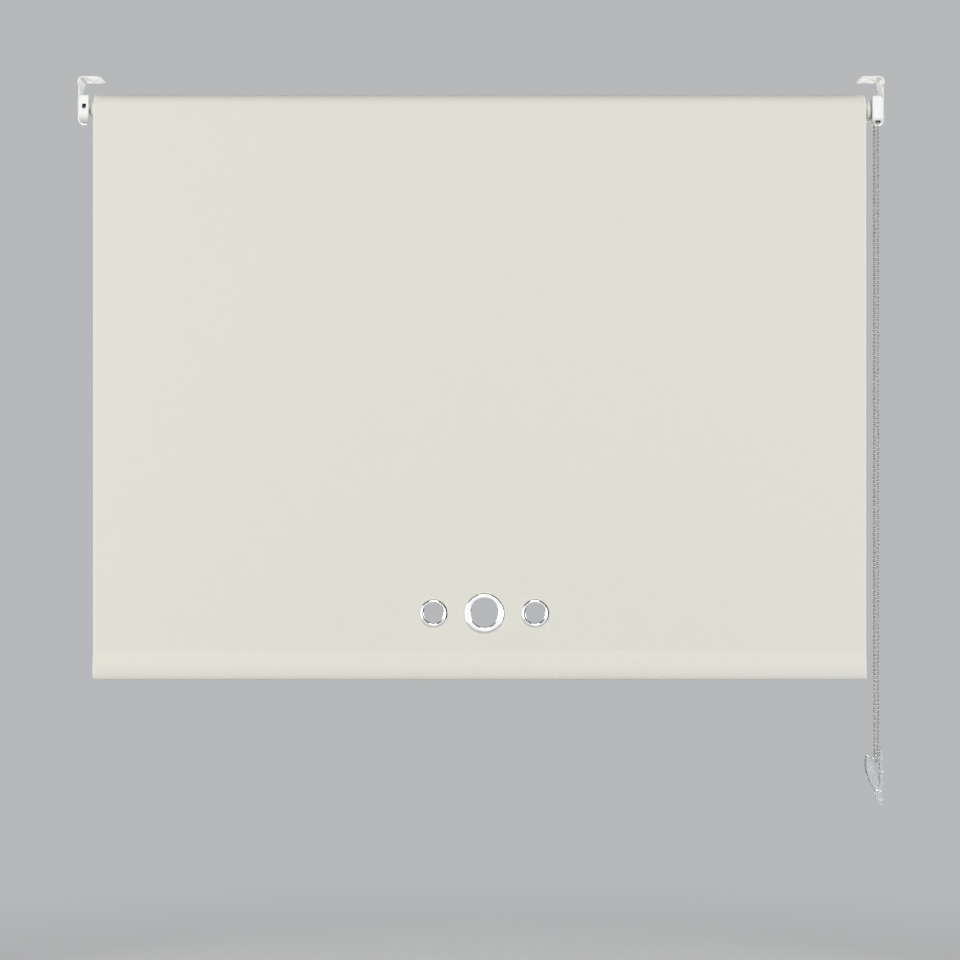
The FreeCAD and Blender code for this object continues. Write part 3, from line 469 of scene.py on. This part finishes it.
# ---- materials -----------------------------------------------------------------------------
class Surface:
    """A node material; its helpers add one node each and return its main output."""

    def __init__(self, name):
        self.material = bpy.data.materials.new(name)
        self.material.use_nodes = True
        self.nodes = self.material.node_tree.nodes
        self.links = self.material.node_tree.links
        self.shader = self.nodes["Principled BSDF"]
        self.place = self.nodes.new("ShaderNodeTexCoord").outputs["Object"]

    def put(self, socket, value):
        if isinstance(value, bpy.types.NodeSocket):
            self.links.new(value, socket)
        else:
            socket.default_value = value

    def add(self, kind, inputs, output=0, **settings):
        node = self.nodes.new(kind)
        for key, value in settings.items():
            setattr(node, key, value)
        for key, value in inputs.items():
            self.put(node.inputs[key], value)
        return node.outputs[output]

    def math(self, operation, a, b=0.0, c=0.0):
        return self.add("ShaderNodeMath", {0: a, 1: b, 2: c}, operation=operation)

    def stretch(self, scale, source=None):
        return self.add("ShaderNodeVectorMath", {0: source or self.place, 1: scale}, operation="MULTIPLY")

    def noise(self, scale, detail=3.0, rough=0.5, source=None):
        return self.add("ShaderNodeTexNoise", {
            "Vector": source or self.place, "Scale": scale, "Detail": detail, "Roughness": rough,
        })

    def spread(self, value, low, high, from_low=0.3, from_high=0.7):
        return self.add("ShaderNodeMapRange", {
            "Value": value, "From Min": from_low, "From Max": from_high, "To Min": low, "To Max": high,
        })

    def tint(self, factor, colour_a, colour_b):
        """Colour between a and b by factor."""
        node = self.nodes.new("ShaderNodeMix")
        node.data_type = "RGBA"
        self.put(node.inputs["Factor"], factor)
        self.put(node.inputs[6], colour_a if not isinstance(colour_a, tuple) else (*colour_a, 1.0))
        self.put(node.inputs[7], colour_b if not isinstance(colour_b, tuple) else (*colour_b, 1.0))
        return node.outputs[2]

    def bump(self, height, distance, strength=1.0, under=None):
        inputs = {"Height": height, "Distance": distance, "Strength": strength}
        if under is not None:
            inputs["Normal"] = under
        return self.add("ShaderNodeBump", inputs)

    def finish(self, **inputs):
        for key, value in inputs.items():
            name = key.replace("_", " ")
            if isinstance(value, tuple) and len(value) == 3:
                value = (*value, 1.0)
            self.put(self.shader.inputs[name], value)
        return self.material


def cloth_material():
    """Cream plain weave: threads half a millimetre apart, slubs, painted shade between the threads and a
    painted highlight along the cut edges.
    """
    s = Surface("blind_cloth_weave")
    across = s.add("ShaderNodeSeparateXYZ", {"Vector": s.place}, output="X")
    down = s.add("ShaderNodeAttribute", {}, output="Fac", attribute_name="cloth_down")
    pitch = 2 * math.pi / THREAD_PITCH
    warp = s.math("SINE", s.math("MULTIPLY", across, pitch))
    weft = s.math("SINE", s.math("MULTIPLY", down, pitch))
    over = s.math("MULTIPLY", s.math("SINE", s.math("MULTIPLY", across, pitch / 2)),
                  s.math("SINE", s.math("MULTIPLY", down, pitch / 2)))
    weave = s.math("ADD", s.math("MULTIPLY", s.math("ABSOLUTE", warp), 0.35),
                   s.math("MULTIPLY", s.math("ABSOLUTE", weft), 0.35))
    weave = s.math("ADD", weave, s.math("MULTIPLY", over, 0.3))
    flat = s.add("ShaderNodeCombineXYZ", {"X": across, "Y": down, "Z": 0.0})
    slub_weft = s.noise(1.0, 3.0, 0.55, s.stretch((38.0, 1500.0, 1.0), flat))
    slub_warp = s.noise(1.0, 3.0, 0.55, s.stretch((1400.0, 30.0, 1.0), flat))
    broad = s.noise(5.0, 2.0, 0.5, flat)
    fine = s.noise(2600.0, 2.0, 0.6, flat)
    slubs = s.math("ADD", s.math("MULTIPLY", slub_weft, 0.55), s.math("MULTIPLY", slub_warp, 0.45))
    tone = s.tint(s.spread(slubs, 0.0, 1.0, 0.36, 0.64), CLOTH_DARK, CLOTH_LIGHT)
    tone = s.tint(s.spread(broad, 0.0, 0.35), tone, CLOTH_COOL)
    # painted shade: the cloth is darker in the hollows between the threads, where the weave height is low
    gap_shade = s.spread(weave, 0.16, 0.0, 0.0, 0.6)
    tone = s.tint(gap_shade, tone, CLOTH_GAP_SHADE)
    from_left = s.math("SUBTRACT", across, CLOTH_X[0])
    from_right = s.math("SUBTRACT", CLOTH_X[1], across)
    # painted highlight: the cloth is paler within a few millimetres of its cut edges
    edge = s.spread(s.math("MINIMUM", from_left, from_right), 0.6, 0.0, 0.0004, 0.0026)
    tone = s.tint(edge, tone, CLOTH_EDGE_HIGHLIGHT)
    relief = s.bump(weave, 0.00010, 0.7)
    relief = s.bump(slubs, 0.00022, 0.5, relief)
    relief = s.bump(fine, 0.00004, 0.4, relief)
    return s.finish(
        Base_Color=tone, Roughness=s.spread(slubs, 0.72, 0.88), Normal=relief,
        Specular_IOR_Level=0.25, Sheen_Weight=0.08, Sheen_Roughness=0.5,
    )


def plastic_material(name, colour, rough, transmission=0.0):
    """Moulded plastic: fine spark-eroded texture, faint flow marks and a little dust."""
    s = Surface(name)
    flow = s.noise(1.0, 2.0, 0.5, s.stretch((60.0, 60.0, 18.0)))
    grain = s.noise(5200.0, 2.0, 0.6)
    dust = s.noise(900.0, 4.0, 0.7)
    darker = tuple(c * 0.955 for c in colour)
    tone = s.tint(s.spread(flow, 0.0, 1.0), colour, darker)
    tone = s.tint(s.spread(dust, 0.0, 0.25, 0.62, 0.8), tone, tuple(c * 0.86 for c in colour))
    relief = s.bump(flow, 0.0003, 0.15)
    relief = s.bump(grain, 0.00003, 0.35, relief)
    return s.finish(
        Base_Color=tone, Roughness=s.spread(dust, rough - 0.05, rough + 0.09), Normal=relief,
        Specular_IOR_Level=0.5, IOR=1.49, Transmission_Weight=transmission,
    )


def painted_material(name, colour):
    """Satin powder coat with orange peel."""
    s = Surface(name)
    peel = s.noise(1100.0, 2.0, 0.5)
    broad = s.noise(40.0, 3.0, 0.5)
    speck = s.noise(3800.0, 2.0, 0.6)
    tone = s.tint(s.spread(broad, 0.0, 1.0), colour, tuple(c * 0.95 for c in colour))
    relief = s.bump(peel, 0.00003, 0.2)
    relief = s.bump(speck, 0.00001, 0.2, relief)
    return s.finish(
        Base_Color=tone, Roughness=s.spread(peel, 0.34, 0.46), Normal=relief, Specular_IOR_Level=0.5,
    )


def metal_material(name, colour, rough, along=(1.0, 1.0, 1.0), relief_depth=0.00002, spots=0.1):
    """Metal with fine drawn or polished marks along one direction, and faint stains."""
    s = Surface(name)
    marks = s.noise(1.0, 3.0, 0.6, s.stretch(along))
    stain = s.noise(220.0, 4.0, 0.6)
    tone = s.tint(s.spread(marks, 0.0, 1.0), colour, tuple(c * 0.93 for c in colour))
    tone = s.tint(s.spread(stain, 0.0, spots * 2, 0.55, 0.75), tone, tuple(c * 0.72 for c in colour))
    rough_low, rough_high = rough * 0.75, rough * 1.3 + spots * 0.1
    relief = s.bump(marks, relief_depth, 0.4)
    return s.finish(
        Base_Color=tone, Metallic=1.0, Roughness=s.spread(stain, rough_low, rough_high), Normal=relief,
    )


def clear_material(name):
    """Clear polycarbonate with faint flow lines."""
    s = Surface(name)
    flow = s.noise(1.0, 2.0, 0.5, s.stretch((260.0, 260.0, 70.0)))
    scuff = s.noise(1500.0, 4.0, 0.7)
    relief = s.bump(flow, 0.0002, 0.2)
    return s.finish(
        Base_Color=s.tint(s.spread(flow, 0.0, 1.0), (0.93, 0.945, 0.955), (0.87, 0.89, 0.905)),
        Roughness=s.spread(scuff, 0.05, 0.16, 0.45, 0.8), Normal=relief,
        Transmission_Weight=0.87, IOR=1.585, Specular_IOR_Level=0.5,
    )


def tape_material(name):
    s = Surface(name)
    fibres = s.noise(1.0, 3.0, 0.6, s.stretch((120.0, 2600.0, 2600.0)))
    tone = s.tint(s.spread(fibres, 0.0, 1.0), (0.72, 0.69, 0.58), (0.80, 0.78, 0.68))
    return s.finish(
        Base_Color=tone, Roughness=s.spread(fibres, 0.4, 0.6), Normal=s.bump(fibres, 0.00005, 0.4),
    )


ROLLED = (14.0, 1800.0, 1800.0)       # marks drawn out along X
DRAWN = (900.0, 60.0, 60.0)           # rings round a wire
NO_WAY = (500.0, 500.0, 500.0)        # marks in every direction
BALLS = (300.0, 300.0, 300.0)
RINGS = (160.0, 160.0, 160.0)
POLISHED = (0.00001, 0.03)            # depth of the marks, share of stains
MATERIALS = {
    "blind_cloth": cloth_material(),
    "white_plastic": plastic_material("white_plastic_moulded", (0.93, 0.935, 0.93), 0.30),
    "nylon": plastic_material("nylon_moulded", (0.76, 0.76, 0.72), 0.45),
    "pale_plastic": plastic_material("pale_plastic_moulded", (0.88, 0.88, 0.87), 0.36),
    "wheel_plastic": plastic_material("wheel_plastic_moulded", (0.60, 0.60, 0.58), 0.42),
    "bracket_paint": painted_material("bracket_powder_coat", (0.88, 0.88, 0.87)),
    "spring_steel": metal_material("spring_steel_wire", (0.50, 0.50, 0.51), 0.28, DRAWN),
    "zinc_steel": metal_material("zinc_plated_steel", (0.66, 0.68, 0.71), 0.30, NO_WAY),
    "tube_aluminium": metal_material("tube_aluminium_mill", (0.76, 0.77, 0.78), 0.34, ROLLED),
    "lath_aluminium": metal_material("lath_aluminium_mill", (0.78, 0.78, 0.78), 0.34, ROLLED),
    "tape": tape_material("fixing_tape"),
    "eyelet_metal": metal_material("eyelet_chrome", (0.83, 0.84, 0.86), 0.07, RINGS, *POLISHED),
    "chain_nickel": metal_material("chain_nickel_plate", (0.40, 0.395, 0.38), 0.38, BALLS, *POLISHED),
    "clear_plastic": clear_material("clear_polycarbonate"),
}
slots = {row["node"]: row["material_slot"] for row in frame["record"]["subparts"]}
for node, obj in frame["nodes"].items():
    for place in obj.material_slots:
        place.material = MATERIALS[slots[node]]
for obj in (cloth, roll):
    obj.data.materials.append(MATERIALS["blind_cloth"])
chain.data.materials.append(MATERIALS["chain_nickel"])


# ---- floor, world and lights ---------------------------------------------------------------
def make_floor():
    """Large pale disc whose rim fades out."""
    shape = bmesh.new()
    bmesh.ops.create_circle(shape, cap_ends=True, segments=96, radius=FLOOR_RADIUS)
    mesh = bpy.data.meshes.new("floor")
    shape.to_mesh(mesh)
    shape.free()
    floor = bpy.data.objects.new("floor", mesh)
    floor.location = (0, 0, FLOOR_Z)
    scene.collection.objects.link(floor)
    s = Surface("floor_pale")
    mottle = s.noise(3.0, 4.0, 0.55)
    grain = s.noise(160.0, 3.0, 0.6)
    tone = s.tint(s.spread(mottle, 0.0, 1.0), (0.56, 0.56, 0.557), (0.547, 0.547, 0.545))
    s.finish(
        Base_Color=tone, Roughness=s.spread(grain, 0.6, 0.8), Normal=s.bump(grain, 0.001, 0.1),
        Specular_IOR_Level=0.1, Emission_Color=(0.9, 0.91, 0.92), Emission_Strength=0.13,
    )
    reach = s.add("ShaderNodeVectorMath", {0: s.place}, output="Value", operation="LENGTH")
    clear = s.nodes.new("ShaderNodeBsdfTransparent").outputs[0]
    mix = s.nodes.new("ShaderNodeMixShader")
    s.links.new(s.spread(reach, 0.0, 1.0, *FLOOR_FADE), mix.inputs[0])
    s.links.new(s.shader.outputs[0], mix.inputs[1])
    s.links.new(clear, mix.inputs[2])
    s.links.new(mix.outputs[0], s.nodes["Material Output"].inputs["Surface"])
    mesh.materials.append(s.material)
    floor.visible_diffuse = False


def glowing(mesh, name, colour, strength):
    """Give a staging mesh a plain glow."""
    material = bpy.data.materials.new(name)
    material.use_nodes = True
    nodes = material.node_tree.nodes
    nodes.remove(nodes["Principled BSDF"])
    glow = nodes.new("ShaderNodeEmission")
    glow.inputs["Color"].default_value = (*colour, 1.0)
    glow.inputs["Strength"].default_value = strength
    material.node_tree.links.new(glow.outputs[0], nodes["Material Output"].inputs["Surface"])
    mesh.materials.append(material)


def make_card(name, location, size, aim, strength):
    """Studio card that shows only in reflections: white if it glows, else a black flag."""
    shape = bmesh.new()
    bmesh.ops.create_grid(shape, x_segments=1, y_segments=1, size=0.5)
    mesh = bpy.data.meshes.new(name)
    shape.to_mesh(mesh)
    shape.free()
    card = bpy.data.objects.new(name, mesh)
    card.location = location
    card.scale = (size[0], size[1], 1.0)
    card.rotation_euler = (Vector(aim) - Vector(location)).to_track_quat("-Z", "Y").to_euler()
    scene.collection.objects.link(card)
    glowing(mesh, name, (1.0, 1.0, 1.0), strength)
    for ray in ("camera", "diffuse", "shadow", "transmission", "volume_scatter"):
        setattr(card, "visible_" + ray, False)


def make_backdrop():
    """Grey studio wall all round, seen directly and through clear plastic; it gives no light."""
    shape = bmesh.new()
    bmesh.ops.create_uvsphere(shape, u_segments=64, v_segments=32, radius=BACKDROP_RADIUS)
    mesh = bpy.data.meshes.new("backdrop")
    shape.to_mesh(mesh)
    shape.free()
    backdrop = bpy.data.objects.new("backdrop", mesh)
    backdrop.location = (0, 0, BACKDROP_Z)
    scene.collection.objects.link(backdrop)
    glowing(mesh, "backdrop", BACKDROP_COLOUR, 1.0)
    for ray in ("diffuse", "glossy", "shadow", "volume_scatter"):
        setattr(backdrop, "visible_" + ray, False)


def make_light(name, location, size, power, colour):
    data = bpy.data.lights.new(name, "AREA")
    data.shape = "RECTANGLE"
    data.size, data.size_y = size
    data.energy = power
    data.color = colour
    light = bpy.data.objects.new(name, data)
    light.location = location
    light.rotation_euler = (Vector(AIM) - Vector(location)).to_track_quat("-Z", "Y").to_euler()
    light.visible_camera = False
    scene.collection.objects.link(light)


make_floor()
make_backdrop()
world = bpy.data.worlds.new("studio")
world.use_nodes = True
world.node_tree.nodes["Background"].inputs["Color"].default_value = (*WORLD_COLOUR, 1.0)
scene.world = world
for light in LIGHTS:
    make_light(*light)
for card in CARDS:
    make_card(*card)
